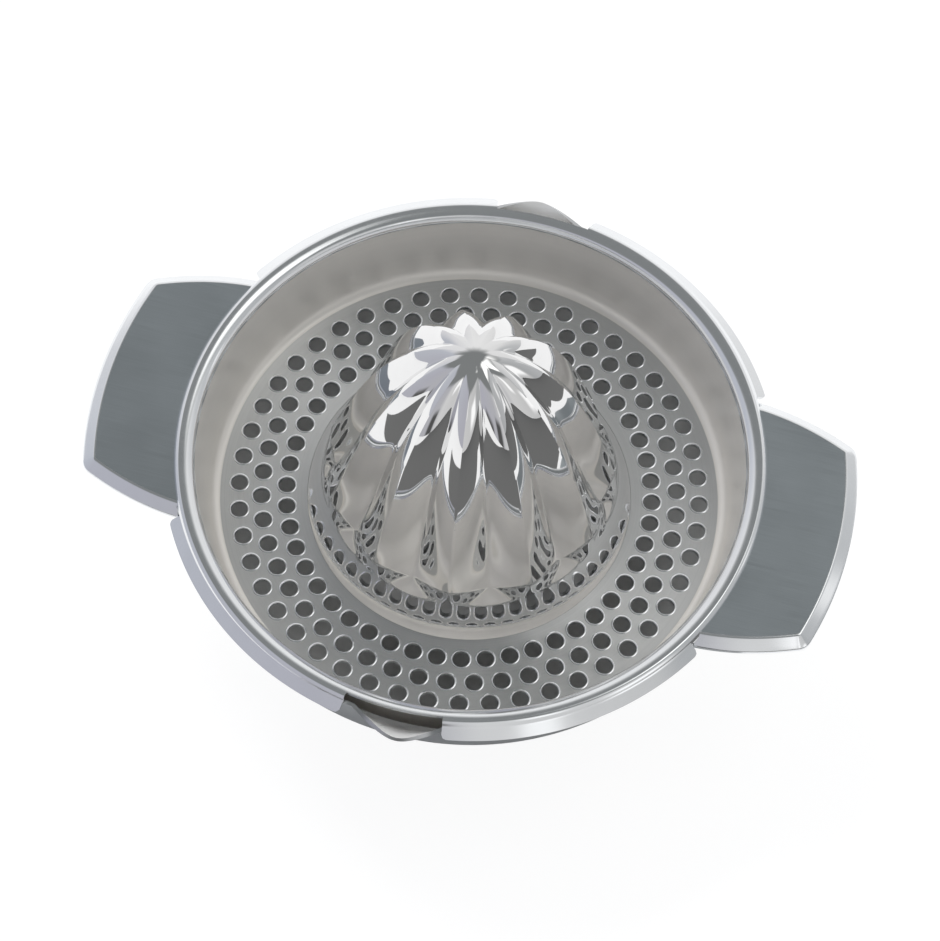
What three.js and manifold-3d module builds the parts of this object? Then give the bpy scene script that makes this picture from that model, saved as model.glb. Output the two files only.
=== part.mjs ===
// Hand citrus juicer in pressed stainless steel. A strainer dish with two handle tabs carries a
// fluted reamer cone and rests on a juice bowl with two pouring lips.
// Millimetres, +Z up. The origin is the centre of the bowl's base, +X runs through a handle tab
// and +Y through the notch over a pouring lip.
import * as THREE from 'three';
import { mergeGeometries, mergeVertices } from 'three/addons/utils/BufferGeometryUtils.js';
import Module from 'manifold-3d';

// All pieces
const sheet = 0.8; // thickness of the pressed steel
const gap = 0.3; // clearance between pieces that seat on each other
const overrun = 2; // how far a cutting body runs past what it cuts

// Perforated floor of the strainer dish, heights from its upper face
const openingRadius = 33.75; // opening that the reamer cone stands in
const holeRadius = 1.75;
const holeSides = 8;
const holesPerRing = 48;
const holePhaseDegrees = 5.0; // azimuth of the first hole of the inner and outer ring
const firstRingPitch = 4.35; // from the opening's edge to the inner ring of holes
const secondRingPitch = 5.2;
const thirdRingPitch = 4.7;
const floorBorder = 3.9; // from the outer ring of holes to the fillet
const innerRing = openingRadius + firstRingPitch;
const middleRing = innerRing + secondRingPitch;
const outerRing = middleRing + thirdRingPitch;
const floorRadius = outerRing + floorBorder;
const holeRings = [
  { radius: innerRing, staggerShare: 0 },
  { radius: middleRing, staggerShare: 1 / 2 },
  { radius: outerRing, staggerShare: 0 },
];

// Wall and rim of the dish, as radius and height of its inner or upper face
const filletRun = 2.5;
const filletRise = 3.6;
const wallRun = 2.1; // how far the wall leans out
const wallRise = 12.0;
const crownRun = 3.1; // from the wall to the crown of the rolled rim
const crownRise = 2.2;
const creaseRun = 1.2; // from the crown to the line where the rim turns into the skirt
const creaseFall = 1.0;
const skirtRun = 2.2;
const skirtFall = 1.5;
const dishSteps = 60;
const wallFoot = { radius: floorRadius + filletRun, height: filletRise };
const wallTop = { radius: wallFoot.radius + wallRun, height: wallFoot.height + wallRise };
const rimCrown = { radius: wallTop.radius + crownRun, height: wallTop.height + crownRise };
const rimCrease = { radius: rimCrown.radius + creaseRun, height: rimCrown.height - creaseFall };
const skirtEdge = { radius: rimCrease.radius + skirtRun, height: rimCrease.height - skirtFall };

// Cut-outs of the skirt
const lipCutHalfDegrees = 9.63; // over each pouring lip
const lipCutDepth = 1.7; // from the crease into the rim
const tabCutHalfDegrees = 28.75; // over each handle tab, with its relief notches
const tabCutMargin = 0.2; // from the crease to the edge of the cut-out
const lipCutRadius = rimCrease.radius - lipCutDepth;
const tabCutRadius = rimCrease.radius + tabCutMargin;

// Handle tabs
const tabLength = 18.4; // from the rim to the tab's end
const tabNotch = 0.4; // clearance between the tab's root and the skirt
const tabNarrowing = 5.7; // how much narrower each half is at the end than at the root
const tabBulge = 2.3; // how far the side's curve stands out of its chord
const tabCornerRun = 1.6; // length that each rounded corner takes from its two edges
const tabRise = 0.2; // upper face over the rim's crease
const tabBorder = 2.3; // width of the turned-down border
const tabBorderFall = 1.7; // height that the border falls
const tabLipDepth = 2.4; // upper face to the lower edge of the border
const tabOverlap = 0.5; // how far the tab's root reaches into the rim
const tabHeight = rimCrease.height + tabRise;
const tabEndRadius = tabCutRadius + tabLength;
const tabRootHalfWidth = tabCutRadius * Math.sin(THREE.MathUtils.degToRad(tabCutHalfDegrees)) - tabNotch;
const tabEndHalfWidth = tabRootHalfWidth - tabNarrowing;

// Reamer cone, heights from the dish's floor
const coneHeight = 58.75;
const ribCount = 11;
const stepsPerRib = 6;
const ridgeDegrees = 14.8; // azimuth of the first ridge
const shoulderRun = 3.75; // from the opening's edge in to the foot of the bell
const ribFoot = { radius: openingRadius - shoulderRun, height: 12.5 };
const coneBelly = { radius: 24.0, height: 33.0 }; // first handle of the bell curve
const crownRadius = 17.0; // second handle of the bell curve
const shoulderBend = { radius: 30.9, height: 1.5 }; // the shoulder flares out below this point
const fluteLowHeight = 7; // where the flutes fade out on the shoulder
const fluteGrowth = 7; // height scale over which they deepen above it
const fluteDepthShare = 0.2; // full depth of a flute as a share of the radius there
const fluteSoftShare = 0.12; // roundness of the flute's bottom
const flangeLap = 2.15; // how far the cone's foot flange reaches under the dish floor
const flangeRadius = openingRadius + flangeLap;

// Juice bowl, as radius and height of its outer face from its base
const bowlHeight = 42.0;
const rimTuck = 0.2; // the bowl's rim stands this far inside the dish's crease
const bowlRimRadius = rimCrease.radius - rimTuck;
const baseRadius = 32.8;
const lowBendRunShare = 0.64; // handles of the bellied wall's curve, from the base's edge to the rim
const lowBendRiseShare = 0.293;
const highBendRunShare = 0.91;
const highBendRiseShare = 0.629;
const baseFillet = 5.0; // run of the fillet along the base
const filletShare = 0.1; // share of the wall's curve that the fillet takes
const bowlSteps = 84;
const bowlTurnDegrees = 1.6; // the bowl stands turned a little under the strainer
const lipReach = 3.8; // how far a pouring lip stands out of the round rim
const lipFall = 1.2; // how far its tip lies below the rim
const lipDepth = 12.0; // height over which the wall swells into the lip
const lipHalfDegrees = 9.4;
const lipSoftShare = 0.15; // roundness of the lip's tip
const lipCurvePower = 2.6; // how late the wall turns outwards

// Bowl and dish are keyed by the height at which the skirt rides on the bowl's rim
const skirtSlopeShare = skirtFall / skirtRun;
const skirtUnderside = rimCrease.height - sheet * Math.hypot(1, skirtSlopeShare);
const floorHeight = bowlHeight + gap - skirtUnderside;

const wasm = await Module();
wasm.setup();

const radians = THREE.MathUtils.degToRad;
const clamp = THREE.MathUtils.clamp;
const at = (corner) => new THREE.Vector2(corner.radius, corner.height);
const point = (radius, height) => new THREE.Vector2(radius, height);

// Closed body as a solid for joining and cutting, and back.
function solid(geometry) {
  const bare = geometry.clone();
  bare.deleteAttribute('normal');
  bare.deleteAttribute('uv');
  const merged = mergeVertices(bare);
  return new wasm.Manifold(new wasm.Mesh({
    numProp: 3,
    vertProperties: new Float32Array(merged.attributes.position.array),
    triVerts: new Uint32Array(merged.index.array),
  }));
}

function surface(body) {
  const mesh = body.getMesh();
  const geometry = new THREE.BufferGeometry();
  geometry.setAttribute('position', new THREE.BufferAttribute(mesh.vertProperties, 3));
  geometry.setIndex(new THREE.BufferAttribute(mesh.triVerts, 1));
  geometry.computeVertexNormals();
  return geometry;
}

// The line that runs beside an open profile, one sheet to its left, from the end to the start.
// What lies on the axis stays on it.
function backOf(profile) {
  const side = [];
  for (let i = 1; i < profile.length; i++) {
    const along = profile[i].clone().sub(profile[i - 1]).normalize();
    side.push(point(-along.y, along.x));
  }
  const back = profile.map((corner, i) => {
    const before = side[Math.max(i - 1, 0)];
    const after = side[Math.min(i, side.length - 1)];
    const mitre = before.clone().add(after).divideScalar(1 + before.dot(after));
    return point(corner.x && corner.x + mitre.x * sheet, corner.y + mitre.y * sheet);
  });
  return back.reverse();
}

// A body of revolution about Z, with its first step at the given azimuth.
function revolve(profile, steps, azimuth = 0) {
  return new THREE.LatheGeometry(profile, steps, azimuth + Math.PI / 2).rotateX(Math.PI / 2);
}

// Moves each point of a body of revolution to where place(radius, height, azimuth) says.
function reshape(geometry, place) {
  const position = geometry.attributes.position;
  for (let i = 0; i < position.count; i++) {
    const [x, y, z] = [position.getX(i), position.getY(i), position.getZ(i)];
    const next = place(Math.hypot(x, y), z, Math.atan2(y, x));
    position.setXYZ(i, next.radius * Math.cos(next.azimuth), next.radius * Math.sin(next.azimuth), next.height);
  }
  return geometry;
}

// 0 in the middle of a valley and 1 on its edge, V-shaped with a rounded middle.
function softValley(share, soft) {
  return (Math.hypot(share, soft) - soft) / (Math.hypot(1, soft) - soft);
}

// A piece of a ring about Z between two radii, two azimuths and two heights.
function ringSector(inner, outer, middleDegrees, halfDegrees, low, high) {
  const [start, end] = [radians(middleDegrees - halfDegrees), radians(middleDegrees + halfDegrees)];
  const outline = new THREE.Shape();
  outline.absarc(0, 0, outer, start, end, false);
  outline.absarc(0, 0, inner, end, start, true);
  const geometry = new THREE.ExtrudeGeometry(outline, { depth: high - low, bevelEnabled: false });
  return solid(geometry.translate(0, 0, low));
}

// Dish: floor, fillet, leaning wall, rolled rim and sloping skirt are one pressed sheet.
function dishShell() {
  const lean = (wallTop.radius - wallFoot.radius) / (wallTop.height - wallFoot.height);
  const filletCorner = point(wallFoot.radius - lean * wallFoot.height, 0);
  const fillet = new THREE.QuadraticBezierCurve(point(floorRadius, 0), filletCorner, at(wallFoot));
  const rimRise = (rimCrown.height - wallTop.height) / 2;
  const rise = new THREE.QuadraticBezierCurve(
    at(wallTop), point(wallTop.radius + lean * rimRise, wallTop.height + 2 * rimRise), at(rimCrown),
  );
  const fall = new THREE.QuadraticBezierCurve(
    at(rimCrown), point((rimCrown.radius + rimCrease.radius) / 2, rimCrown.height), at(rimCrease),
  );
  const upper = [
    at(skirtEdge), ...fall.getPoints(2).reverse(), ...rise.getPoints(2).reverse().slice(1),
    ...fillet.getPoints(2).reverse(), point(openingRadius, 0),
  ];
  const profile = [...upper, ...backOf(upper)];
  return solid(revolve([...profile, profile[0]], dishSteps));
}

// Punches for the three rings of juice holes.
function holePunches() {
  const punches = [];
  for (const ring of holeRings) {
    for (let i = 0; i < holesPerRing; i++) {
      const azimuth = radians(holePhaseDegrees) + (2 * Math.PI * (i - ring.staggerShare)) / holesPerRing;
      const punch = new THREE.CylinderGeometry(holeRadius, holeRadius, sheet + 2 * overrun, holeSides);
      punch.rotateX(Math.PI / 2).rotateZ(azimuth);
      punches.push(punch.translate(ring.radius * Math.cos(azimuth), ring.radius * Math.sin(azimuth), 0));
    }
  }
  return solid(mergeGeometries(punches));
}

// The tab's raised form, smaller all round and lower by the inset.
function tabForm(inset) {
  const cornerAzimuth = Math.asin(tabEndHalfWidth / tabEndRadius);
  const corner = point(tabEndRadius * Math.cos(cornerAzimuth), tabEndHalfWidth);
  const rootX = Math.sqrt(tabCutRadius ** 2 - tabRootHalfWidth ** 2);
  const bulge = point((rootX + corner.x) / 2, (tabRootHalfWidth + tabEndHalfWidth) / 2 + tabBulge);
  const side = new THREE.QuadraticBezierCurve(point(rootX, tabRootHalfWidth), bulge, corner);
  const sidePoints = side.getPoints(8).filter((p) => p.distanceTo(corner) > tabCornerRun);
  const sideEnd = corner.clone().sub(bulge).normalize().multiplyScalar(-tabCornerRun).add(corner);
  const arcStart = cornerAzimuth - tabCornerRun / tabEndRadius;
  const arcPoint = point(tabEndRadius * Math.cos(arcStart), tabEndRadius * Math.sin(arcStart));
  const round = new THREE.QuadraticBezierCurve(sideEnd, corner, arcPoint).getPoints(3);
  const upperHalf = [
    point(rootX - tabCutRadius + openingRadius, tabRootHalfWidth), ...sidePoints, ...round,
  ];
  const lowerHalf = upperHalf.map((p) => point(p.x, -p.y)).reverse();
  const end = [];
  for (let i = 1; i < 8; i++) {
    const azimuth = arcStart * (1 - i / 4);
    end.push(point(tabEndRadius * Math.cos(azimuth), tabEndRadius * Math.sin(azimuth)));
  }
  const geometry = new THREE.ExtrudeGeometry(new THREE.Shape([...upperHalf, ...end, ...lowerHalf]), {
    depth: tabLipDepth,
    bevelThickness: tabBorderFall,
    bevelSize: tabBorder,
    bevelOffset: -tabBorder - inset,
    bevelSegments: 1,
  });
  return solid(geometry.translate(0, 0, tabHeight - tabLipDepth - tabBorderFall - inset));
}

// Handle tab: a flat plate with its border turned down, open below. Only the plate runs on to
// the rim, so the border stays clear of the bowl.
function handleTab() {
  const [outer, half] = [tabEndRadius + overrun, 2 * tabCutHalfDegrees];
  const top = tabHeight + overrun;
  const plateReach = ringSector(
    rimCrease.radius - tabOverlap, outer, 0, half, tabHeight - sheet, top,
  );
  const borderReach = ringSector(tabCutRadius, outer, 0, half, tabHeight - tabLipDepth, top);
  return tabForm(0).subtract(tabForm(sheet)).intersect(plateReach.add(borderReach));
}

function strainerDish() {
  let dish = dishShell().subtract(holePunches());
  const low = skirtEdge.height - sheet - overrun;
  const high = rimCrown.height + overrun;
  const outer = skirtEdge.radius + overrun;
  const tab = handleTab();
  for (const turn of [0, 180]) {
    dish = dish.subtract(ringSector(tabCutRadius, outer, turn, tabCutHalfDegrees, low, high));
    dish = dish.subtract(ringSector(lipCutRadius, outer, turn + 90, lipCutHalfDegrees, low, high));
  }
  for (const turn of [0, 180]) {
    dish = dish.add(tab.rotate([0, 0, turn]));
  }
  return surface(dish);
}

// Reamer: a bell with V-shaped flutes between its ridges, hollow below, on a smooth shoulder that
// passes through the dish's opening to a foot flange under the floor.
function reamerCone() {
  const bell = new THREE.CubicBezierCurve(
    at(ribFoot), at(coneBelly), point(crownRadius, coneHeight), point(0, coneHeight),
  );
  const shoulder = new THREE.QuadraticBezierCurve(
    point(openingRadius - gap, 0), at(shoulderBend), at(ribFoot),
  );
  const flangeTop = -sheet - gap;
  const outer = [
    point(flangeRadius, flangeTop), point(openingRadius - gap, flangeTop),
    ...shoulder.getPoints(5), ...bell.getPoints(11).slice(1),
  ];
  const body = revolve([...backOf(outer), ...outer], ribCount * stepsPerRib, radians(ridgeDegrees));
  return reshape(body, (radius, height, azimuth) => {
    const turn = ((azimuth - radians(ridgeDegrees)) * ribCount) / (2 * Math.PI);
    const fromFlute = Math.abs(turn - Math.floor(turn) - 1 / 2) * 2;
    const growth = 1 - Math.exp(Math.min(fluteLowHeight - height, 0) / fluteGrowth);
    const depth = fluteDepthShare * growth * (1 - softValley(fromFlute, fluteSoftShare));
    return { radius: radius * (1 - depth), height, azimuth };
  });
}

// Bowl: a flat base, a bellied wall and a plain rim that swells into two pouring lips.
function juiceBowl() {
  const foot = point(baseRadius, 0);
  const bellyRun = bowlRimRadius - baseRadius;
  const wall = new THREE.CubicBezierCurve(
    foot,
    point(baseRadius + lowBendRunShare * bellyRun, lowBendRiseShare * bowlHeight),
    point(baseRadius + highBendRunShare * bellyRun, highBendRiseShare * bowlHeight),
    point(bowlRimRadius, bowlHeight),
  );
  const start = wall.getPoint(filletShare);
  const fillet = new THREE.QuadraticBezierCurve(point(baseRadius - baseFillet, 0), foot, start);
  const outer = [point(0, 0), ...fillet.getPoints(2)];
  const wallRows = 8; // closer together towards the rim
  for (let i = 1; i <= wallRows; i++) {
    outer.push(wall.getPoint(Math.sin((Math.PI * i) / (2 * wallRows))));
  }
  const body = revolve([...outer, ...backOf(outer)], bowlSteps);
  return reshape(body, (radius, height, azimuth) => {
    const crowded = azimuth + Math.sin(2 * azimuth) / 4;
    const fromLip = Math.abs(Math.abs(crowded) - Math.PI / 2) / radians(lipHalfDegrees);
    const swell = 1 - softValley(Math.min(fromLip, 1), lipSoftShare);
    const climb = clamp((height - bowlHeight + lipDepth) / lipDepth, 0, 1) ** lipCurvePower;
    return {
      radius: radius + lipReach * swell * climb,
      height: Math.min(height, bowlHeight) - lipFall * swell * climb,
      azimuth: crowded + radians(bowlTurnDegrees),
    };
  });
}

function steel(colour, roughness) {
  return new THREE.MeshStandardMaterial({ color: colour, roughness, metalness: 1 });
}

function piece(name, geometry, material) {
  const mesh = new THREE.Mesh(geometry, material);
  mesh.name = name;
  return mesh;
}

const strainer = new THREE.Group();
strainer.add(piece('strainer_dish', strainerDish(), steel(0x9fa3a6, 0.35)));
strainer.add(piece('reamer_cone', reamerCone(), steel(0xc9ccce, 0.08)));
strainer.position.z = floorHeight;

const juicer = new THREE.Group();
juicer.add(piece('juice_bowl', juiceBowl(), steel(0xb4b8bb, 0.2)));
juicer.add(strainer);

export default juicer;
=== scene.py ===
"""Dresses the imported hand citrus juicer: fine pressed-steel surfaces, their finishes and a plain studio."""
import math

import bmesh
import bpy
import numpy as np
from bpy.props import FloatProperty, FloatVectorProperty, PointerProperty
from mathutils import Matrix, Vector


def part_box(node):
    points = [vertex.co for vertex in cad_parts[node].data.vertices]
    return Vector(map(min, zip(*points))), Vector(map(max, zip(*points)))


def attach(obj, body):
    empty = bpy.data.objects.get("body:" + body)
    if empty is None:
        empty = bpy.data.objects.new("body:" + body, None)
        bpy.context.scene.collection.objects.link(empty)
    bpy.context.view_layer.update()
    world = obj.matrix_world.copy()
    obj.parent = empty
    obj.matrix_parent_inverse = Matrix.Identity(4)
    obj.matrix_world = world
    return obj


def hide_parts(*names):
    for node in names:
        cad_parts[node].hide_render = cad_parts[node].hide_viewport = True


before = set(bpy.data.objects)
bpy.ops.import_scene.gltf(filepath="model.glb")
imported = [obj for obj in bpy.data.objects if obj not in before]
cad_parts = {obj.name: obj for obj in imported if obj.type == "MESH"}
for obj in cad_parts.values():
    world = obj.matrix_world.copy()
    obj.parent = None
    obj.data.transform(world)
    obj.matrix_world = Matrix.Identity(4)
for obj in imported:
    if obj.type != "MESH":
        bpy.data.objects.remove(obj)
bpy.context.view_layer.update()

bl_info = {
    "name": "Hand citrus juicer",
    "version": (1, 0, 0),
    "blender": (4, 5, 0),
    "location": "3D View > Sidebar > Juicer",
    "description": "Builds a pressed-steel hand citrus juicer around its packed frame",
    "category": "Object",
}

MM = 0.001

# The dish floor's upper face lies one sheet above the dish's lowest point.
SHEET = 0.8 * MM
FLOOR_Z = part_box("strainer_dish")[0].z + SHEET
BOWL_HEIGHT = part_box("juice_bowl")[1].z

# Points of a surface closer than the merge distance, in metres, become one. Edges that turn more
# than the sharp angle are shaded as edges.
MERGE_DISTANCE = 2e-6
SHARP_ANGLE = math.radians(38)

# Azimuth steps of the dish and bowl: eight to each hole's cell, so that holes and wall share points.
HOLES_PER_RING = 48
CELL_STEPS = 8
TURN_STEPS = HOLES_PER_RING * CELL_STEPS
HOLE_PHASE = math.radians(5.0)
CELL_TURN = 2 * math.pi / HOLES_PER_RING

# Dish profile as radius and height over the floor's upper face.
OPENING_RADIUS = 33.75 * MM
HOLE_RING_RADII = (38.1 * MM, 43.3 * MM, 48.0 * MM)
HOLE_BAND_EDGES = (35.5 * MM, 40.7 * MM, 45.65 * MM, 50.3 * MM)
# A hole's lip from outside in: run and rise as shares of its width.
HOLE_LIP_PROFILE = (
    (1.2, 0.0), (1.0, 0.01), (0.8, 0.09), (0.5, 0.16), (0.25, 0.12), (0.07, -0.06), (0.0, -0.4),
)
FLOOR_RADIUS = 51.9 * MM
WALL_FOOT = (54.4 * MM, 3.6 * MM)
WALL_TOP = (56.5 * MM, 15.6 * MM)
RIM_CROWN = (59.6 * MM, 17.8 * MM)
RIM_CREASE = (60.8 * MM, 16.8 * MM)
SKIRT_EDGE = (63.0 * MM, 15.3 * MM)
SKIRT_CORNER = 1.0 * MM
LIP_CUT_RADIUS = 59.1 * MM
LIP_CUT_HALF = math.radians(9.63)
TAB_CUT_RADIUS = 61.0 * MM
TAB_CUT_HALF = math.radians(28.75)
# The columns within this angle of a cut-out's end are drawn towards it by this share.
CUT_CROWD = 0.75
CUT_CROWD_REACH = math.radians(3.2)
FLOOR_BORDER_POINTS = 4
FILLET_STEPS = 10
WALL_POINTS = 12
ROLL_STEPS = 14
ROLL_SEARCH_STEPS = 400
FALL_STEPS = 8
SKIRT_POINTS = 9

# Material slots of the dish's sheet.
FLOOR_STEEL, WALL_STEEL, RIM_STEEL, TAB_STEEL = range(4)

# Handle tabs. The border's profile is inset and fall in mm, from its edge up to the flat. Its root
# lies on the cut-out's radius and moves in to its own over the topmost TAB_ROOT_FALL mm.
TAB_Z = 17.0 * MM
TAB_END_RADIUS = 79.4 * MM
TAB_ROOT_RADIUS = 60.6 * MM
TAB_ROOT_HALF_WIDTH = 28.94 * MM
TAB_BULGE_HALF_WIDTH = 28.39 * MM
TAB_END_HALF_WIDTH = 23.24 * MM
TAB_CORNER_RUN = 1.6 * MM
TAB_ROOT_RUN = 1.2 * MM
TAB_BORDER_PROFILE = (
    (0.0, 2.4), (0.0, 1.9), (0.05, 1.72), (0.2, 1.54), (0.8, 1.1),
    (1.4, 0.66), (2.0, 0.22), (2.14, 0.12), (2.26, 0.05), (2.4, 0.0), (2.7, 0.0),
)
TAB_ROOT_FALL = 0.5
TAB_SIDE_STEPS = 40
TAB_END_POINTS = 42
TAB_ROOT_POINTS = 40

# Reamer cone: radii and heights over the floor's upper face.
CONE_HEIGHT = 58.75 * MM
RIBS = 11
RIB_STEPS = 36
RIDGE_AZIMUTH = math.radians(14.8)
RIB_FOOT = (30.0 * MM, 12.5 * MM)
CONE_BELLY = (24.0 * MM, 33.0 * MM)
CROWN_RADIUS = 17.0 * MM
SHOULDER_BEND = (30.0 * MM, 3.6 * MM)
RIDGE_ROUNDNESS = 0.35
VALLEY_SOFTNESS = 0.06
CROWN_BAND = (38.0 * MM, 54.0 * MM)
CAP_BAND = (0.5 * MM, 9.0 * MM)
CONE_FOOT_RADIUS = 33.7 * MM
CONE_FLANGE_RADIUS = 35.9 * MM
CONE_FLANGE_TOP = -1.1 * MM
BELL_POINTS = 111
SHOULDER_STEPS = 40

# Studio: azimuths from the camera's side, positive to its right, and elevations, in degrees.
# Each wall of the room starts at its azimuth and blends into the next.
ROOM_WALLS = (
    (-180.0, (0.95, 0.95, 0.95)), (-140.0, (0.82, 0.82, 0.84)), (-112.0, (0.56, 0.58, 0.64)),
    (-50.0, (0.50, 0.50, 0.56)), (-8.0, (0.52, 0.52, 0.55)), (6.0, (0.74, 0.74, 0.74)),
    (62.0, (0.62, 0.62, 0.62)), (70.0, (0.46, 0.47, 0.48)), (112.0, (0.60, 0.61, 0.62)),
    (135.0, (0.85, 0.85, 0.85)), (180.0, (0.95, 0.95, 0.95)),
)
# Soft boxes and the high lamp: azimuths from and to, elevations from and to, soft edge, colour.
SOFT_BOXES = (
    (44.0, 62.0, 5.0, 27.0, 8.0, (1.2, 1.2, 1.2)),
    (19.0, 31.0, 24.0, 48.0, 6.0, (1.2, 1.2, 1.2)),
    (94.0, 101.0, 10.0, 30.0, 4.0, (1.0, 1.0, 1.0)),
    (-14.0, -3.0, -8.0, 16.0, 5.0, (0.10, 0.10, 0.10)),
    (-44.0, -24.0, -8.0, 5.0, 6.0, (0.12, 0.12, 0.12)),
)
SOFT_BOX_EDGE = 10.0
CEILING = (0.24, 0.25, 0.252)
CEILING_EDGE = (46.0, 58.0)
HIGH_LAMP = (80.0, 150.0, 58.0, 76.0, 14.0, (1.5, 1.5, 1.48))

# Table and lamp, and the grounds on the table that only the polish sees. A ground's two corners are
# metres across and out from the middle, as the camera sees them.
TABLE_SIZE = 6.0
GROUND_GAP = 0.2 * MM
# Where the lamp stands, where it points, its size in metres and its power in watts.
KEY_LIGHT = ((-0.9, 0.9, 1.3), (0, 0, 0.03), 0.9, 14.0)
# The grey ground's shade is painted shadow: the juicer's shadow on the table, seen only in the polish.
GROUND_SHADES = {"dark_ground": (0.22, 0.22, 0.215), "painted_shadow_ground": (0.76, 0.77, 0.77)}
GROUND_CARDS = (
    ("dark_front", (-0.26, 0.106), (2.9, 2.9), "dark_ground"),
    ("dark_side", (0.2, -0.1), (2.9, 0.106), "dark_ground"),
    # The grey card under the near lip is painted shadow. It stands in for the juicer's shadow on the table,
    # as the bowl's polish shows it.
    ("painted_shadow_front", (-0.06, 0.034), (0.06, 0.106), "painted_shadow_ground"),
)

# Juice bowl: radii and heights from its base.
BOWL_RIM_RADIUS = 60.6 * MM
BASE_RADIUS = 32.8 * MM
BASE_FILLET = 5.0 * MM
BOWL_LOW_BEND = (50.6 * MM, 12.3 * MM)
BOWL_HIGH_BEND = (60.0 * MM, 25.0 * MM)
BOWL_WALL_START = 0.1
BOWL_WALL_POINTS = 60
BOWL_BASE_POINTS = 8
# The bowl's columns are drawn towards the lips by this angle in radians.
BOWL_CROWD = 0.25
LIP_SOFTNESS = 0.3
LIP_CURVE_POWER = 3

# Grain of the steels: lines and clouds per metre, the band of each noise that is used, and how much
# of the roughness each of them moves.
TURNED_LINES = 3000.0
TURN_SHARE = 0.5
DRAWN_LINES = (90.0, 5200.0, 900.0)
PLAIN_LINES = (400.0, 400.0, 400.0)
CLOUDS = 55.0
LINE_BAND = (0.25, 0.75)
CLOUD_BAND = (0.3, 0.7)
LINE_ROUGHNESS = 0.12
CLOUD_ROUGHNESS = 0.08


def quadratic(a, b, c, steps, extra=()):
    """Points on a quadratic curve, both ends included, and at the extra places along it."""
    t = np.union1d(np.linspace(0, 1, steps + 1), extra)[:, None]
    a, b, c = (np.array(p, float) for p in (a, b, c))
    return (1 - t) ** 2 * a + 2 * t * (1 - t) * b + t**2 * c


def cubic(a, b, c, d, places):
    """Points on a cubic curve at the given places along it, from 0 to 1."""
    t = np.asarray(places)[:, None]
    a, b, c, d = (np.array(p, float) for p in (a, b, c, d))
    s = 1 - t
    return s**3 * a + 3 * s**2 * t * b + 3 * s * t**2 * c + t**3 * d


def smooth_step(value, low, high):
    """0 below low, 1 above high, with an even bend between them."""
    t = np.clip((value - low) / (high - low), 0, 1)
    return t * t * (3 - 2 * t)


def soft_valley(share, soft):
    """0 in the middle of a valley and 1 on its edge, V-shaped with a rounded middle."""
    return (np.hypot(share, soft) - soft) / (math.hypot(1, soft) - soft)


class Surface:
    """Points and faces of one side of a pressed sheet, gathered before it gets its thickness."""

    def __init__(self):
        self.points = []
        self.upright = []
        self.faces = []
        self.finish = []

    def add_points(self, rows, upright=False):
        """Upright points get their thickness straight down instead of along the surface's normal."""
        start = len(self.upright)
        rows = np.asarray(rows, float).reshape(-1, 3)
        self.points.append(rows)
        self.upright.extend([upright] * len(rows))
        return start + np.arange(len(rows))

    def add_quads(self, a, b, c, d, finish=0):
        """Four-sided faces between four equal arrays of points."""
        quads = np.stack([a, b, c, d], -1).reshape(-1, 4)
        self.faces.extend(quads.tolist())
        self.finish.extend([finish] * len(quads))

    def add_face(self, corners, finish=0):
        """One face with any number of corners."""
        self.faces.append([int(i) for i in corners])
        self.finish.append(finish)

    def add_turned(self, profile, azimuths, finish=0, keep=None, place=None):
        """A profile turned about Z. keep(radius, azimuth) leaves faces out; place moves the points."""
        r = np.repeat(np.array([p[0] for p in profile])[:, None], len(azimuths), 1)
        z = np.repeat(np.array([p[1] for p in profile])[:, None], len(azimuths), 1)
        a = np.repeat(np.asarray(azimuths)[None, :], len(profile), 0)
        if place:
            r, z, a = place(r, z, a)
        ids = self.add_points(np.stack([r * np.cos(a), r * np.sin(a), z], -1)).reshape(r.shape)
        right = np.roll(ids, -1, 1)
        quads = np.stack([ids[:-1], right[:-1], right[1:], ids[1:]], -1)
        if keep is not None:
            r_mid = (r[:-1] + r[1:]) / 2
            a_mid = a[:-1] + np.angle(np.exp(1j * (np.roll(a, -1, 1)[:-1] - a[:-1]))) / 2
            quads = quads[keep(r_mid, a_mid)]
        quads = quads.reshape(-1, 4)
        self.faces.extend(quads.tolist())
        self.finish.extend([finish] * len(quads))


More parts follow.
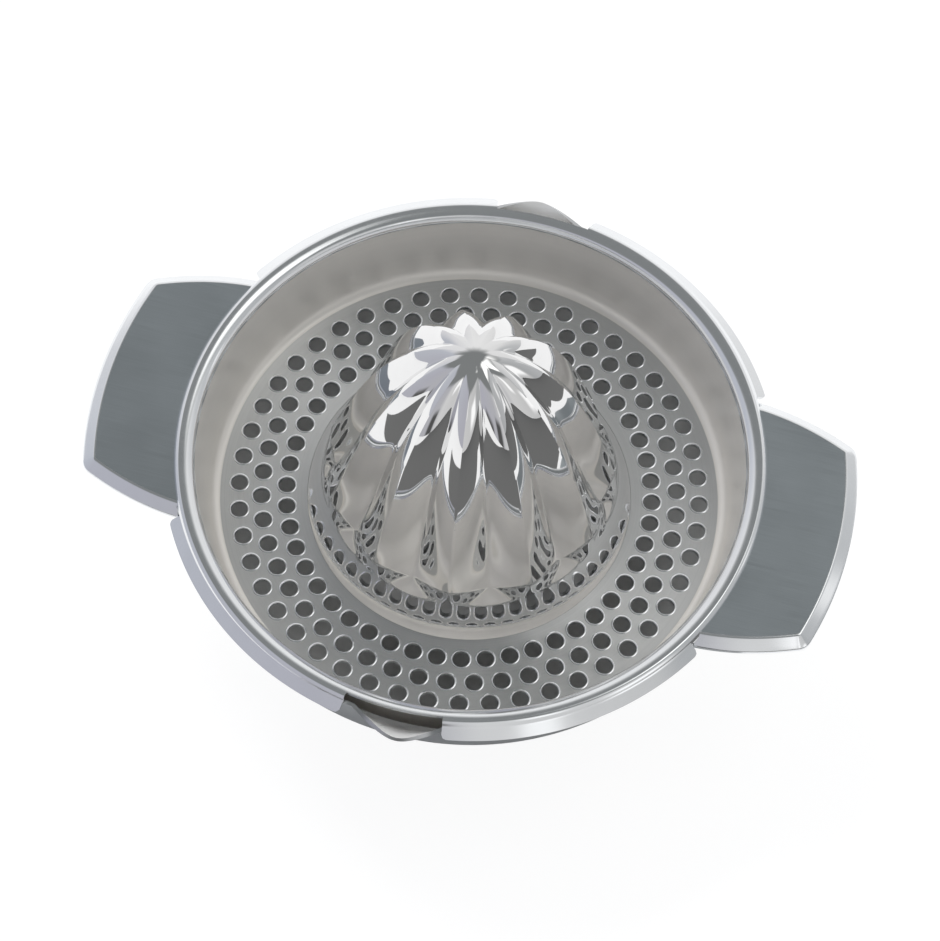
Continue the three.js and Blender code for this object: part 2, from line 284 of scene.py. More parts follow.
def pressed_sheet(name, surface, thickness, materials, body, node, back=None):
    """Makes the surface into a closed sheet that lies behind it, and hangs it on its body.

    Behind is the side that the surface's normals point away from. back gives that side's material
    slot for each slot of the front; without it both sides have the same.
    """
    mesh = bpy.data.meshes.new(name)
    mesh.from_pydata(np.concatenate(surface.points).tolist(), [], surface.faces)
    bm = bmesh.new()
    bm.from_mesh(mesh)
    layer = bm.faces.layers.int.new("finish")
    upright = bm.verts.layers.int.new("upright")
    for face, value in zip(bm.faces, surface.finish):
        face[layer] = value
    for vert, value in zip(bm.verts, surface.upright):
        vert[upright] = value
    bmesh.ops.remove_doubles(bm, verts=bm.verts, dist=MERGE_DISTANCE)
    bmesh.ops.delete(bm, geom=[v for v in bm.verts if not v.link_faces], context="VERTS")
    bm.verts.index_update()
    bm.normal_update()
    front = [v.co.copy() for v in bm.verts]
    normals = [Vector((0, 0, 1)) if v[upright] else v.normal.copy() for v in bm.verts]
    count = len(front)
    behind = [p - n * thickness for p, n in zip(front, normals)]
    faces, finish = [], []
    for face in bm.faces:
        ring = [v.index for v in face.verts]
        faces.append(ring)
        finish.append(face[layer])
        faces.append([i + count for i in reversed(ring)])
        finish.append(back[face[layer]] if back else face[layer])
    for edge in bm.edges:
        if len(edge.link_faces) == 1:
            loop = edge.link_loops[0]
            a, b = loop.vert.index, loop.link_loop_next.vert.index
            faces.append([b, a, a + count, b + count])
            finish.append(edge.link_faces[0][layer])
    bm.free()
    mesh.clear_geometry()
    mesh.from_pydata([tuple(p) for p in front + behind], [], faces)
    mesh.polygons.foreach_set("material_index", finish)
    mesh.polygons.foreach_set("use_smooth", [len(ring) < 5 for ring in faces])
    for material in materials:
        mesh.materials.append(material)
    mesh.set_sharp_from_angle(angle=SHARP_ANGLE)
    if mesh.validate():
        raise RuntimeError(name + " has faulty faces")
    sheet = bpy.data.objects.new(name, mesh)
    bpy.context.scene.collection.objects.link(sheet)
    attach(sheet, body)
    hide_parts(node)


class Nodes:
    """Short way to write a node tree."""

    def __init__(self, owner):
        self.owner = owner
        owner.use_nodes = True
        self.tree = owner.node_tree
        self.tree.nodes.clear()

    def add(self, kind, inputs=(), **settings):
        """A node with its settings; each input is linked to a socket or given a value."""
        node = self.tree.nodes.new(kind)
        for key, value in settings.items():
            setattr(node, key, value)
        for key, value in dict(inputs).items():
            if isinstance(value, bpy.types.NodeSocket):
                self.tree.links.new(value, node.inputs[key])
            else:
                node.inputs[key].default_value = value
        return node

    def maths(self, operation, a, b=0.0):
        return self.add("ShaderNodeMath", {0: a, 1: b}, operation=operation).outputs[0]

    def ramp(self, value, low, high, to_low, to_high, kind="LINEAR"):
        return self.add("ShaderNodeMapRange", {
            "Value": value, "From Min": low, "From Max": high, "To Min": to_low, "To Max": to_high,
        }, interpolation_type=kind).outputs[0]


def steel(name, colour, roughness, grain, grain_depth, spread, anisotropy=0.0, cloud=0.03, metallic=1.0):
    """Stainless steel. grain is 'turned' for circles about Z, 'drawn' for lines along X, or 'none'."""
    n = Nodes(bpy.data.materials.new(name))
    here = n.add("ShaderNodeTexCoord").outputs["Object"]
    if grain == "turned":
        flat = n.add("ShaderNodeSeparateXYZ", {0: here})
        radius = n.maths("SQRT", n.maths("ADD", n.maths("MULTIPLY", flat.outputs[0], flat.outputs[0]),
                                         n.maths("MULTIPLY", flat.outputs[1], flat.outputs[1])))
        along = n.add("ShaderNodeVectorMath", {0: here}, operation="NORMALIZE").outputs[0]
        along = n.add("ShaderNodeVectorMath", {0: along, 3: TURN_SHARE}, operation="SCALE").outputs[0]
        parts = n.add("ShaderNodeSeparateXYZ", {0: along})
        point = n.add("ShaderNodeCombineXYZ", {
            0: n.maths("MULTIPLY", radius, TURNED_LINES), 1: parts.outputs[0], 2: parts.outputs[1],
        }).outputs[0]
    elif grain == "drawn":
        point = n.add("ShaderNodeMapping", {0: here, 3: DRAWN_LINES}).outputs[0]
    else:
        point = n.add("ShaderNodeMapping", {0: here, 3: PLAIN_LINES}).outputs[0]
    lines = n.add("ShaderNodeTexNoise", {"Vector": point, "Scale": 1.0, "Detail": 3.0, "Roughness": 0.6})
    clouds = n.add("ShaderNodeTexNoise", {"Vector": here, "Scale": CLOUDS, "Detail": 3.0}).outputs[0]
    shade = n.maths("ADD", n.ramp(lines.outputs[0], *LINE_BAND, 1 - spread, 1 + spread),
                    n.ramp(clouds, *CLOUD_BAND, -cloud, cloud))
    tint = n.add("ShaderNodeVectorMath", {0: colour, 3: shade}, operation="SCALE").outputs[0]
    by_line, by_cloud = roughness * LINE_ROUGHNESS, roughness * CLOUD_ROUGHNESS
    rough = n.maths("ADD", n.ramp(lines.outputs[0], *LINE_BAND, roughness - by_line, roughness + by_line),
                    n.ramp(clouds, *CLOUD_BAND, -by_cloud, by_cloud))
    inputs = {
        "Base Color": tint, "Metallic": metallic, "Roughness": rough, "IOR": 2.5, "Anisotropic": anisotropy,
    }
    if grain_depth:
        inputs["Normal"] = n.add("ShaderNodeBump", {
            "Strength": 1.0, "Distance": grain_depth, "Height": lines.outputs[0],
        }).outputs[0]
    if anisotropy:
        inputs["Anisotropic Rotation"] = 0.25
        inputs["Tangent"] = n.add("ShaderNodeTangent", direction_type="RADIAL", axis="Z").outputs[0]
    surface = n.add("ShaderNodeBsdfPrincipled", inputs)
    n.add("ShaderNodeOutputMaterial", {"Surface": surface.outputs[0]})


class JuicerSizes(bpy.types.PropertyGroup):
    """Sizes that a user would change."""
    hole_radius: FloatProperty(name="Hole radius", description="Radius of each juice hole",
                               default=1.75 * MM, unit="LENGTH")
    hole_lip: FloatProperty(name="Hole lip", description="Width of the rolled lip round each juice hole",
                            default=0.34 * MM, unit="LENGTH")
    flute_share: FloatProperty(name="Flute depth", description="Depth of a flute as a share of the radius",
                               default=0.145)
    flute_crown: FloatProperty(name="Flute depth added at the crown", default=0.05,
                               description="What the flutes gain towards the crown, as a share of the radius")
    flute_low: FloatProperty(name="Flute foot", description="Height at which the flutes start",
                             default=8.5 * MM, unit="LENGTH")
    flute_growth: FloatProperty(name="Flute growth", description="Height over which the flutes deepen",
                                default=5.5 * MM, unit="LENGTH")
    lip_reach: FloatProperty(name="Lip reach", description="How far a pouring lip stands out of the rim",
                             default=3.8 * MM, unit="LENGTH")
    lip_fall: FloatProperty(name="Lip fall", description="How far the lip's tip lies below the rim",
                            default=1.2 * MM, unit="LENGTH")
    lip_depth: FloatProperty(name="Lip depth", description="Height over which the wall swells into the lip",
                             default=10.0 * MM, unit="LENGTH")
    lip_half: FloatProperty(name="Lip half angle", description="Half of the arc that a lip takes",
                            default=math.radians(9.4), subtype="ANGLE")
    bowl_turn: FloatProperty(name="Bowl turn", description="How far the bowl is turned under the strainer",
                             default=math.radians(1.6), subtype="ANGLE")


class JuicerFinish(bpy.types.PropertyGroup):
    """Colours and roughness of the steel."""
    floor_colour: FloatVectorProperty(name="Floor", description="Satin dish floor", subtype="COLOR",
                                      default=(0.68, 0.685, 0.68))
    wall_colour: FloatVectorProperty(name="Wall", description="Inner wall of the dish", subtype="COLOR",
                                     default=(0.90, 0.87, 0.82))
    rim_colour: FloatVectorProperty(name="Rim", description="Polished rim and borders", subtype="COLOR",
                                    default=(0.82, 0.835, 0.85))
    tab_colour: FloatVectorProperty(name="Tab", description="Brushed handle tabs", subtype="COLOR",
                                    default=(0.37, 0.405, 0.425))
    cone_colour: FloatVectorProperty(name="Cone", description="Mirror-polished reamer", subtype="COLOR",
                                     default=(0.80, 0.80, 0.80))
    bowl_colour: FloatVectorProperty(name="Bowl", description="Polished juice bowl", subtype="COLOR",
                                     default=(0.50, 0.51, 0.52))
    inside_colour: FloatVectorProperty(name="Bowl inside", description="Satin inside of the bowl",
                                       subtype="COLOR", default=(0.93, 0.93, 0.92))


class JuicerStage(bpy.types.PropertyGroup):
    """The photograph's view and the studio round it."""
    azimuth: FloatProperty(name="Azimuth", description="Camera azimuth about the juicer",
                           default=math.radians(12.8), subtype="ANGLE")
    elevation: FloatProperty(name="Elevation", description="Camera elevation over the table",
                             default=math.radians(62.15), subtype="ANGLE")
    roll: FloatProperty(name="Roll", description="How far the picture is turned clockwise",
                        default=math.radians(2.5), subtype="ANGLE")
    distance: FloatProperty(name="Distance", description="Camera to the dish floor's centre",
                            default=781.0 * MM, unit="LENGTH")
    aim_right: FloatProperty(name="Aim right", description="How far the camera stands off to its right",
                             default=-0.05 * MM, unit="LENGTH")
    aim_up: FloatProperty(name="Aim up", description="How far the camera stands off upwards",
                          default=4.79 * MM, unit="LENGTH")
    lens: FloatProperty(name="Lens", description="Focal length in millimetres", default=143.36)


def finishes():
    """All materials by name, after the steels are made once."""
    f = bpy.context.scene.juicer_finish
    made = bpy.data.materials
    if "satin_floor" not in made:
        steel("satin_floor", tuple(f.floor_colour), 0.40, "turned", 0.01 * MM, 0.05, anisotropy=0.9,
              metallic=0.88)
        steel("satin_wall", tuple(f.wall_colour), 0.42, "turned", 0.002 * MM, 0.02, anisotropy=0.3,
              metallic=0.6)
        steel("polished_rim", tuple(f.rim_colour), 0.14, "none", 0.0, 0.01)
        steel("brushed_tab", tuple(f.tab_colour), 0.34, "drawn", 0.008 * MM, 0.05)
        steel("mirror_cone", tuple(f.cone_colour), 0.03, "none", 0.0, 0.01, cloud=0.01)
        steel("polished_bowl", tuple(f.bowl_colour), 0.30, "turned", 0.002 * MM, 0.02)
        steel("bowl_inside", tuple(f.inside_colour), 0.42, "turned", 0.002 * MM, 0.02, metallic=0.1)
    return made


def turned_azimuths():
    """Azimuth of each column, starting on the edge of a hole's cell."""
    return HOLE_PHASE - CELL_TURN / 2 + 2 * math.pi * np.arange(TURN_STEPS) / TURN_STEPS


def cut_azimuths(base):
    """The columns crowd towards the ends of the cut-outs, and the nearest ones lie on them."""
    moved = base.copy()
    for middle, half in ((0, TAB_CUT_HALF), (90, LIP_CUT_HALF), (180, TAB_CUT_HALF), (270, LIP_CUT_HALF)):
        for side in (-1, 1):
            off = np.angle(np.exp(1j * (moved - math.radians(middle) - side * half)))
            off_now = off * (1 - CUT_CROWD * np.exp(-((off / CUT_CROWD_REACH) ** 2)))
            nearest = int(np.argmin(np.abs(off_now)))
            off_now[nearest] = 0.0
            moved += off_now - off
    return moved


def off_axis(azimuth, middle_degrees, period):
    """Angle from the nearest of the directions that repeat every period."""
    return np.abs((azimuth - math.radians(middle_degrees) + period / 2) % period - period / 2)


def add_hole_cells(surface, sizes):
    """The perforated band: each hole is a rolled lip in a cell of its own."""
    for ring, (radius, low, high) in enumerate(zip(HOLE_RING_RADII, HOLE_BAND_EDGES, HOLE_BAND_EDGES[1:])):
        stagger = CELL_TURN / 2 if ring == 1 else 0.0
        for i in range(HOLES_PER_RING):
            middle = HOLE_PHASE + stagger + i * CELL_TURN
            steps = np.arange(CELL_STEPS) / CELL_STEPS
            turn = (steps - 0.5) * CELL_TURN
            edge = np.concatenate([
                np.stack([low + 0 * steps, middle + turn], 1),
                np.stack([low + (high - low) * steps, middle + 0 * steps + CELL_TURN / 2], 1),
                np.stack([high + 0 * steps, middle - turn], 1),
                np.stack([high - (high - low) * steps, middle + 0 * steps - CELL_TURN / 2], 1),
            ])
            reach, turned = edge.T
            border = np.stack([reach * np.cos(turned), reach * np.sin(turned), 0 * reach], 1)
            centre = np.array([radius * math.cos(middle), radius * math.sin(middle), 0.0])
            out = border - centre
            out /= np.linalg.norm(out, axis=1)[:, None]
            lip = sizes.hole_lip
            loops = [border] + [
                centre + out * (sizes.hole_radius + lip * run) + np.array([0, 0, lip * rise])
                for run, rise in HOLE_LIP_PROFILE
            ]
            points = np.concatenate(loops) + (0, 0, FLOOR_Z)
            ids = surface.add_points(points, True).reshape(len(loops), -1)
            after = np.roll(ids, -1, 1)
            surface.add_quads(ids[1:2], after[1:2], after[:1], ids[:1], FLOOR_STEEL)
            surface.add_quads(ids[2:], after[2:], after[1:-1], ids[1:-1], RIM_STEEL)


def tab_chain(inset):
    """The tab's outline from its root round its end and back, moved in by the inset."""
    corner_azimuth = math.asin(TAB_END_HALF_WIDTH / TAB_END_RADIUS)
    corner = np.array([TAB_END_RADIUS * math.cos(corner_azimuth), TAB_END_HALF_WIDTH])
    root_x = math.sqrt(TAB_CUT_RADIUS**2 - TAB_ROOT_HALF_WIDTH**2)
    bulge = np.array([(root_x + corner[0]) / 2, TAB_BULGE_HALF_WIDTH])
    side = quadratic((root_x, TAB_ROOT_HALF_WIDTH), bulge, corner, TAB_SIDE_STEPS)
    from_root = np.linalg.norm(side - side[0], axis=1)
    clear = np.linalg.norm(side - corner, axis=1) > TAB_CORNER_RUN
    side = side[clear & ((from_root == 0) | (from_root > TAB_ROOT_RUN))]
    run = (corner - bulge) / np.linalg.norm(corner - bulge)
    start = corner_azimuth - TAB_CORNER_RUN / TAB_END_RADIUS
    on_arc = TAB_END_RADIUS * np.array([math.cos(start), math.sin(start)])
    bend = quadratic(corner - run * TAB_CORNER_RUN, corner, on_arc, FILLET_STEPS)
    turn = np.linspace(start, -start, TAB_END_POINTS)[1:-1]
    end = TAB_END_RADIUS * np.stack([np.cos(turn), np.sin(turn)], 1)
    half = np.concatenate([side, bend])
    chain = np.concatenate([half, end, (half * (1, -1))[::-1]])
    step = np.gradient(chain, axis=0)
    normal = np.stack([-step[:, 1], step[:, 0]], 1)
    normal /= np.linalg.norm(normal, axis=1)[:, None]
    return chain - normal * inset


def cut_root(chain, radius):
    """The two ends of the chain are moved along it onto a circle about the dish's axis."""
    for end, inner in ((0, 1), (-1, -2)):
        a, run = chain[end], chain[inner] - chain[end]
        half_b, c = a @ run, a @ a - radius**2
        chain[end] = a + run * (-half_b + math.sqrt(half_b**2 - (run @ run) * c)) / (run @ run)
    return chain


def add_tab(surface, turn):
    """A handle tab: brushed flat, turned-down polished border, open at its root."""
    c, s = math.cos(turn), math.sin(turn)

    def place(flat, height):
        x, y = flat[:, 0] * c - flat[:, 1] * s, flat[:, 0] * s + flat[:, 1] * c
        return np.stack([x, y, np.full(len(flat), FLOOR_Z + TAB_Z - height)], 1)

    loops = []
    for inset, fall in TAB_BORDER_PROFILE:
        root = TAB_ROOT_RADIUS + (TAB_CUT_RADIUS - TAB_ROOT_RADIUS) * min(fall / TAB_ROOT_FALL, 1)
        loops.append(place(cut_root(tab_chain(inset * MM), root), fall * MM))
    ids = surface.add_points(np.concatenate(loops)).reshape(len(loops), -1)
    surface.add_quads(ids[:-1, :-1], ids[1:, :-1], ids[1:, 1:], ids[:-1, 1:], RIM_STEEL)
    inner = cut_root(tab_chain(TAB_BORDER_PROFILE[-1][0] * MM), TAB_ROOT_RADIUS)
    reach = math.atan2(inner[0][1], inner[0][0])
    sweep = np.linspace(-reach, reach, TAB_ROOT_POINTS)
    root = surface.add_points(place(TAB_ROOT_RADIUS * np.stack([np.cos(sweep), np.sin(sweep)], 1), 0.0))
    surface.add_face(list(ids[-1][::-1]) + list(root[::-1]), TAB_STEEL)


def build_dish(sizes):
    """Floor, wall, rim, skirt segments and tabs of the strainer dish as one pressed sheet."""
    surface = Surface()
    add_hole_cells(surface, sizes)
    azimuths = turned_azimuths()
    lean = (WALL_TOP[0] - WALL_FOOT[0]) / (WALL_TOP[1] - WALL_FOOT[1])
    lift = np.array([0, FLOOR_Z])
    inner = np.array([(OPENING_RADIUS, 0), (HOLE_BAND_EDGES[0], 0)]) + lift
    surface.add_turned(inner[::-1], azimuths, FLOOR_STEEL)
    border = np.linspace((HOLE_BAND_EDGES[-1], 0), (FLOOR_RADIUS, 0), FLOOR_BORDER_POINTS)
    fillet_bend = (WALL_FOOT[0] - lean * WALL_FOOT[1], 0)
    fillet = quadratic((FLOOR_RADIUS, 0), fillet_bend, WALL_FOOT, FILLET_STEPS)
    wall = np.linspace(WALL_FOOT, WALL_TOP, WALL_POINTS)
    rise = (RIM_CROWN[1] - WALL_TOP[1]) / 2
    roll = (WALL_TOP, (WALL_TOP[0] + lean * rise, RIM_CROWN[1]), RIM_CROWN)
    fine = quadratic(*roll, ROLL_SEARCH_STEPS)[:, 0]
    cut_place = np.interp(LIP_CUT_RADIUS, fine, np.linspace(0, 1, len(fine)))
    crown = quadratic(*roll, ROLL_STEPS, [cut_place])
    fall_bend = ((RIM_CROWN[0] + RIM_CREASE[0]) / 2, RIM_CROWN[1])
    fall = quadratic(RIM_CROWN, fall_bend, RIM_CREASE, FALL_STEPS)
    skirt = np.linspace(RIM_CREASE, SKIRT_EDGE, SKIRT_POINTS)
    skirt_run, skirt_rise = SKIRT_EDGE[0] - RIM_CREASE[0], SKIRT_EDGE[1] - RIM_CREASE[1]
    inside = np.concatenate([fillet, wall[1:]]) + lift
    rim = np.concatenate([crown, fall[1:], skirt[1:]]) + lift
    bend = np.angle(np.exp(1j * (cut_azimuths(azimuths) - azimuths)))

    def place(r, z, a):
        a = a + bend * np.clip((z - FLOOR_Z) / WALL_TOP[1], 0, 1)
        reach = np.clip((r - RIM_CREASE[0]) / skirt_run, 0, 1)
        from_cut = np.maximum(0, SKIRT_CORNER - r * np.minimum(
            np.abs(off_axis(a, 90, math.pi) - LIP_CUT_HALF), np.abs(off_axis(a, 0, math.pi) - TAB_CUT_HALF)))
        drawn = SKIRT_CORNER - np.sqrt(SKIRT_CORNER**2 - from_cut**2)
        back = reach * drawn / np.hypot(skirt_run, skirt_rise)
        return r - back * skirt_run, z - back * skirt_rise, a

    def keep(r, a):
        over_lip = (off_axis(a, 90, math.pi) < LIP_CUT_HALF) & (r > LIP_CUT_RADIUS)
        over_tab = (off_axis(a, 0, math.pi) < TAB_CUT_HALF) & (r > RIM_CREASE[0])
        return ~(over_lip | over_tab)

    surface.add_turned((border + lift)[::-1], azimuths, FLOOR_STEEL)
    surface.add_turned(inside[::-1], azimuths, WALL_STEEL, None, place)
    surface.add_turned(rim[::-1], azimuths, RIM_STEEL, keep, place)
    add_tab(surface, 0.0)
    add_tab(surface, math.pi)
    return surface


class OBJECT_OT_juicer_dish(bpy.types.Operator):
    """Builds the strainer dish with its holes, rim, skirt and tabs"""
    bl_idname = "object.juicer_dish"
    bl_label = "Strainer dish"

    def execute(self, context):
        surface = build_dish(context.scene.juicer_sizes)
        m = finishes()
        pressed_sheet(
            "strainer_dish_sheet", surface, SHEET,
            [m["satin_floor"], m["satin_wall"], m["polished_rim"], m["brushed_tab"]],
            "strainer", "strainer_dish",
        )
        return {"FINISHED"}


class OBJECT_OT_juicer_reamer(bpy.types.Operator):
    """Builds the fluted reamer cone with its shoulder and foot flange"""
    bl_idname = "object.juicer_reamer"
    bl_label = "Reamer cone"

    def execute(self, context):
        sizes = context.scene.juicer_sizes
        bell_curve = (RIB_FOOT, CONE_BELLY, (CROWN_RADIUS, CONE_HEIGHT), (0.0, CONE_HEIGHT))
        bell = cubic(*bell_curve, np.linspace(0, 1, BELL_POINTS))
        shoulder = quadratic((CONE_FOOT_RADIUS, 0), SHOULDER_BEND, RIB_FOOT, SHOULDER_STEPS)
        foot = np.array([(CONE_FLANGE_RADIUS, CONE_FLANGE_TOP), (CONE_FOOT_RADIUS, CONE_FLANGE_TOP)])
        profile = np.concatenate([foot, shoulder, bell[1:]])
        steps = RIBS * RIB_STEPS
        azimuths = RIDGE_AZIMUTH + 2 * math.pi * np.arange(steps) / steps

        def place(r, z, a):
            turn = (a - RIDGE_AZIMUTH) * RIBS / (2 * math.pi)
            from_flute = np.abs(turn - np.floor(turn) - 0.5) * 2
            growth = 1 - np.exp(np.minimum(sizes.flute_low - z, 0) / sizes.flute_growth)
            depth = sizes.flute_share * growth + sizes.flute_crown * smooth_step(z, *CROWN_BAND)
            swell = RIDGE_ROUNDNESS * np.sin(math.pi * from_flute) / math.pi
            across = soft_valley(from_flute, VALLEY_SOFTNESS) + swell
            return r * (1 - depth * (1 - across) * smooth_step(r, *CAP_BAND)), z + FLOOR_Z, a

        surface = Surface()
        surface.add_turned(profile, azimuths, 0, None, place)
        pressed_sheet(
            "reamer_cone_sheet", surface, SHEET, [finishes()["mirror_cone"]],
            "strainer", "reamer_cone",
        )
        return {"FINISHED"}


class OBJECT_OT_juicer_bowl(bpy.types.Operator):
    """Builds the juice bowl with its two pouring lips"""
    bl_idname = "object.juicer_bowl"
    bl_label = "Juice bowl"

    def execute(self, context):
        sizes = context.scene.juicer_sizes
        wall_curve = ((BASE_RADIUS, 0), BOWL_LOW_BEND, BOWL_HIGH_BEND, (BOWL_RIM_RADIUS, BOWL_HEIGHT))
        places = np.sin(np.linspace(math.asin(BOWL_WALL_START), math.pi / 2, BOWL_WALL_POINTS))
        wall = cubic(*wall_curve, places)
        fillet = quadratic((BASE_RADIUS - BASE_FILLET, 0), (BASE_RADIUS, 0), wall[0], FILLET_STEPS)
        base = np.linspace((0.0, 0.0), fillet[0], BOWL_BASE_POINTS)
        profile = np.concatenate([base[:-1], fillet, wall[1:]])
        steps = 2 * math.pi * np.arange(TURN_STEPS) / TURN_STEPS
        azimuths = steps + BOWL_CROWD * np.sin(2 * steps)

        def place(r, z, a):
            from_lip = np.minimum(off_axis(a, 90, math.pi) / sizes.lip_half, 1)
            swell = 1 - soft_valley(from_lip, LIP_SOFTNESS)
            rise = np.clip((z - BOWL_HEIGHT + sizes.lip_depth) / sizes.lip_depth, 0, 1)
            climb = rise**LIP_CURVE_POWER
            return (r + sizes.lip_reach * swell * climb, z - sizes.lip_fall * swell * climb,
                    a + sizes.bowl_turn)

        surface = Surface()
        surface.add_turned(profile, azimuths, 0, None, place)
        m = finishes()
        pressed_sheet(
            "juice_bowl_sheet", surface, SHEET, [m["polished_bowl"], m["bowl_inside"]],
            "bowl", "juice_bowl", back=(1,),
        )
        return {"FINISHED"}


def stage_card(name, size, location, material):
    """A flat rectangle of the stage."""
    mesh = bpy.data.meshes.new(name)
    w, d = size[0] / 2, size[1] / 2
    mesh.from_pydata([(-w, -d, 0), (w, -d, 0), (w, d, 0), (-w, d, 0)], [], [(0, 1, 2, 3)])
    mesh.materials.append(material)
    obj = bpy.data.objects.new(name, mesh)
    obj.location = location
    bpy.context.scene.collection.objects.link(obj)
    return obj


def white_floor():
    """A white table that glows to the camera and the polish, so that it looks plain white."""
    n = Nodes(bpy.data.materials.new("white_table"))
    path = n.add("ShaderNodeLightPath")
    seen = n.maths("MAXIMUM", path.outputs["Is Camera Ray"], path.outputs["Is Glossy Ray"])
    plain = n.add("ShaderNodeBsdfDiffuse", {"Color": (0.8, 0.8, 0.8, 1)}).outputs[0]
    soft = n.add("ShaderNodeBsdfDiffuse", {"Color": (0.25, 0.25, 0.25, 1)}).outputs[0]
    glow = n.add("ShaderNodeEmission", {"Color": (1, 1, 1, 1), "Strength": 0.87}).outputs[0]
    both = n.add("ShaderNodeAddShader", {0: soft, 1: glow}).outputs[0]
    mixed = n.add("ShaderNodeMixShader", {0: seen, 1: plain, 2: both}).outputs[0]
    n.add("ShaderNodeOutputMaterial", {"Surface": mixed})
    return n.owner


def matt_ground(name, shade):
    """A matt ground in the given shade, made once."""
    made = bpy.data.materials.get(name)
    if made:
        return made
    n = Nodes(bpy.data.materials.new(name))
    surface = n.add("ShaderNodeBsdfDiffuse", {"Color": (*shade, 1)})
    n.add("ShaderNodeOutputMaterial", {"Surface": surface.outputs[0]})
    return n.owner


def studio_world(view_azimuth):
    """White walls behind, greyer sides, a grey ceiling and a few soft boxes; plain white to the camera."""
    world = bpy.data.worlds.new("studio")
    bpy.context.scene.world = world
    n = Nodes(world)
    c, s = math.cos(view_azimuth), math.sin(view_azimuth)
    out = n.add("ShaderNodeTexCoord").outputs["Generated"]
    to_right = n.add("ShaderNodeVectorMath", {0: out, 1: (c, s, 0)}, operation="DOT_PRODUCT").outputs[1]
    to_front = n.add("ShaderNodeVectorMath", {0: out, 1: (s, -c, 0)}, operation="DOT_PRODUCT").outputs[1]
    azimuth = n.maths("ARCTAN2", to_right, to_front)
    height = n.add("ShaderNodeSeparateXYZ", {0: out}).outputs[2]
    elevation = n.maths("ARCSINE", height)

    def band(value, low, high, soft):
        low, high, soft = math.radians(low), math.radians(high), math.radians(soft)
        up = n.ramp(value, low - soft / 2, low + soft / 2, 0.0, 1.0, "SMOOTHSTEP")
        down = n.ramp(value, high - soft / 2, high + soft / 2, 1.0, 0.0, "SMOOTHSTEP")
        return n.maths("MULTIPLY", up, down)

    def over(colour, patch, new):
        mix = n.add("ShaderNodeMix", data_type="RGBA")
        n.tree.links.new(patch, mix.inputs["Factor"])
        for socket, value in ((mix.inputs[6], colour), (mix.inputs[7], new)):
            if isinstance(value, bpy.types.NodeSocket):
                n.tree.links.new(value, socket)
            else:
                socket.default_value = (*value, 1)
        return mix.outputs[2]

    colour = ROOM_WALLS[0][1]
    for (start, _), (end, shade) in zip(ROOM_WALLS, ROOM_WALLS[1:]):
        colour = over(colour, n.ramp(azimuth, math.radians(start), math.radians(end), 0.0, 1.0), shade)
    for az_low, az_high, low, high, soft, shade in SOFT_BOXES:
        across, up = band(azimuth, az_low, az_high, soft), band(elevation, low, high, SOFT_BOX_EDGE)
        colour = over(colour, n.maths("MULTIPLY", across, up), shade)
    edge_low, edge_high = (math.radians(edge) for edge in CEILING_EDGE)
    colour = over(colour, n.ramp(elevation, edge_low, edge_high, 0.0, 1.0, "SMOOTHSTEP"), CEILING)
    az_low, az_high, low, high, soft, shade = HIGH_LAMP
    across, up = band(azimuth, az_low, az_high, soft), band(elevation, low, high, soft)
    colour = over(colour, n.maths("MULTIPLY", across, up), shade)
    seen = n.add("ShaderNodeLightPath").outputs["Is Camera Ray"]
    colour = over(colour, seen, (1, 1, 1))
    glow = n.add("ShaderNodeBackground", {"Color": colour, "Strength": 1.0})
    n.add("ShaderNodeOutputWorld", {"Surface": glow.outputs[0]})


def area_light(name, location, target, size, power):
    """A soft square lamp that points at the target, too soft to show in the polish."""
    lamp = bpy.data.lights.new(name, "AREA")
    lamp.shape = "SQUARE"
    lamp.size = size
    lamp.energy = power
    obj = bpy.data.objects.new(name, lamp)
    obj.location = location
    obj.rotation_euler = (Vector(target) - Vector(location)).to_track_quat("-Z", "Y").to_euler()
    obj.visible_glossy = False
    bpy.context.scene.collection.objects.link(obj)


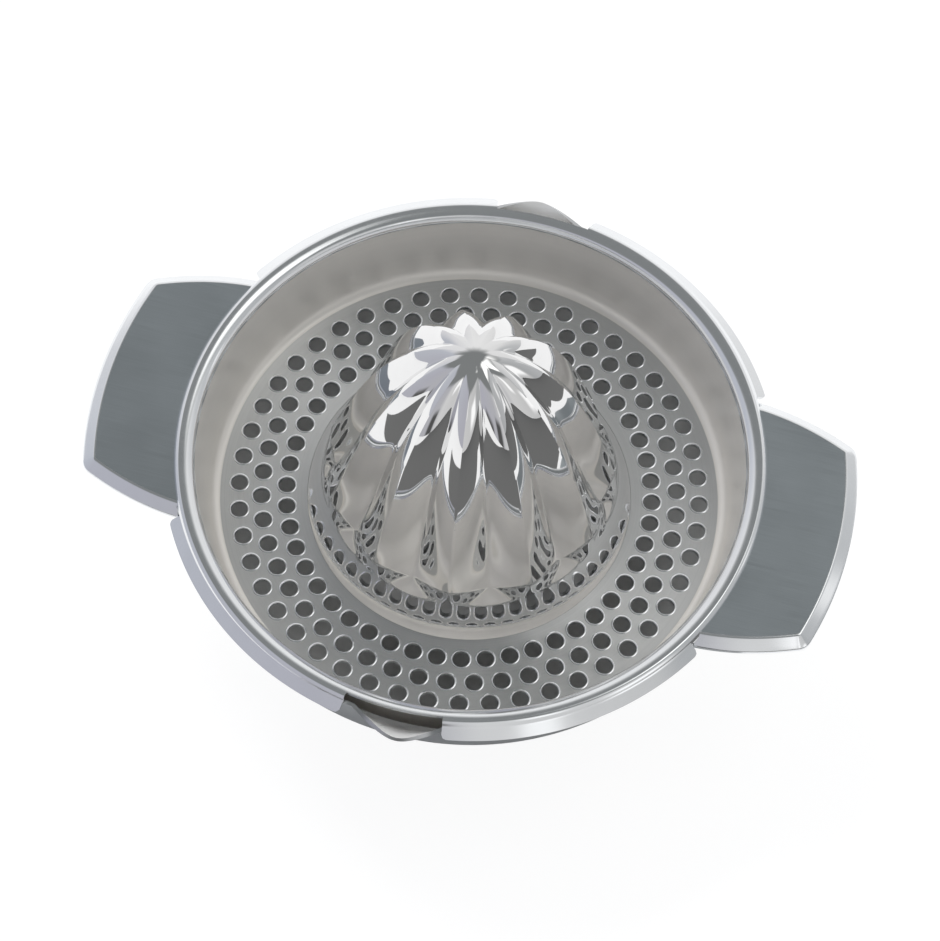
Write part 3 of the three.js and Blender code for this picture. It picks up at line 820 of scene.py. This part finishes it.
class SCENE_OT_juicer_stage(bpy.types.Operator):
    """Sets the photograph's camera, the table and the studio light"""
    bl_idname = "scene.juicer_stage"
    bl_label = "Stage"

    def execute(self, context):
        s = context.scene.juicer_stage
        right = Vector((math.cos(s.azimuth), math.sin(s.azimuth), 0))
        back = Vector((math.sin(s.azimuth) * math.cos(s.elevation),
                       -math.cos(s.azimuth) * math.cos(s.elevation), math.sin(s.elevation)))
        up = back.cross(right)
        spot = Vector((0, 0, FLOOR_Z)) + right * s.aim_right + up * s.aim_up + back * s.distance
        c, k = math.cos(s.roll), math.sin(s.roll)
        turned_right, turned_up = right * c + up * k, up * c - right * k
        lens = bpy.data.cameras.new("camera")
        lens.lens = s.lens
        lens.sensor_width = 36.0
        lens.sensor_fit = "HORIZONTAL"
        lens.clip_start, lens.clip_end = 0.01, 20.0
        camera = bpy.data.objects.new("camera", lens)
        camera.matrix_world = Matrix((
            (turned_right.x, turned_up.x, back.x, spot.x),
            (turned_right.y, turned_up.y, back.y, spot.y),
            (turned_right.z, turned_up.z, back.z, spot.z),
            (0, 0, 0, 1),
        ))
        context.scene.collection.objects.link(camera)
        context.scene.camera = camera
        stage_card("table", (TABLE_SIZE, TABLE_SIZE), (0, 0, -GROUND_GAP), white_floor())
        # Grounds that only the polish sees. The grey one is painted shadow: the juicer's shadow on the table,
        # as the bowl reflects it.
        for name, low, high, cloth in GROUND_CARDS:
            across, out = (low[0] + high[0]) / 2, (low[1] + high[1]) / 2
            location = (across * math.cos(s.azimuth) + out * math.sin(s.azimuth),
                        across * math.sin(s.azimuth) - out * math.cos(s.azimuth), GROUND_GAP)
            card = stage_card(name, (high[0] - low[0], high[1] - low[1]), location,
                              matt_ground(cloth, GROUND_SHADES[cloth]))
            card.rotation_euler = (0, 0, s.azimuth)
            card.visible_camera = False
            card.visible_diffuse = False
            card.visible_shadow = False
        studio_world(s.azimuth)
        area_light("key_light", *KEY_LIGHT)
        context.scene.view_settings.view_transform = "Standard"
        return {"FINISHED"}


class VIEW3D_PT_juicer(bpy.types.Panel):
    """Buttons for the steps and their sizes, finishes and stage."""
    bl_label = "Hand citrus juicer"
    bl_idname = "VIEW3D_PT_juicer"
    bl_space_type = "VIEW_3D"
    bl_region_type = "UI"
    bl_category = "Juicer"

    def draw(self, context):
        for step in STEPS:
            self.layout.operator(step.bl_idname)
        for group in (context.scene.juicer_sizes, context.scene.juicer_finish, context.scene.juicer_stage):
            box = self.layout.box()
            for key in group.__annotations__:
                box.prop(group, key)


GROUPS = (("juicer_sizes", JuicerSizes), ("juicer_finish", JuicerFinish), ("juicer_stage", JuicerStage))
STEPS = (OBJECT_OT_juicer_bowl, OBJECT_OT_juicer_dish, OBJECT_OT_juicer_reamer, SCENE_OT_juicer_stage)


def register():
    """Adds the settings, the operators and the panel."""
    for name, group in GROUPS:
        bpy.utils.register_class(group)
        setattr(bpy.types.Scene, name, PointerProperty(type=group))
    for item in (*STEPS, VIEW3D_PT_juicer):
        bpy.utils.register_class(item)


def unregister():
    """Takes away the panel, the operators and the settings."""
    for item in reversed((*STEPS, VIEW3D_PT_juicer)):
        bpy.utils.unregister_class(item)
    for name, group in reversed(GROUPS):
        delattr(bpy.types.Scene, name)
        bpy.utils.unregister_class(group)


def main():
    """Builds the juicer and its stage."""
    register()
    bpy.ops.object.juicer_bowl()
    bpy.ops.object.juicer_dish()
    bpy.ops.object.juicer_reamer()
    bpy.ops.scene.juicer_stage()


if __name__ == "__main__":
    main()
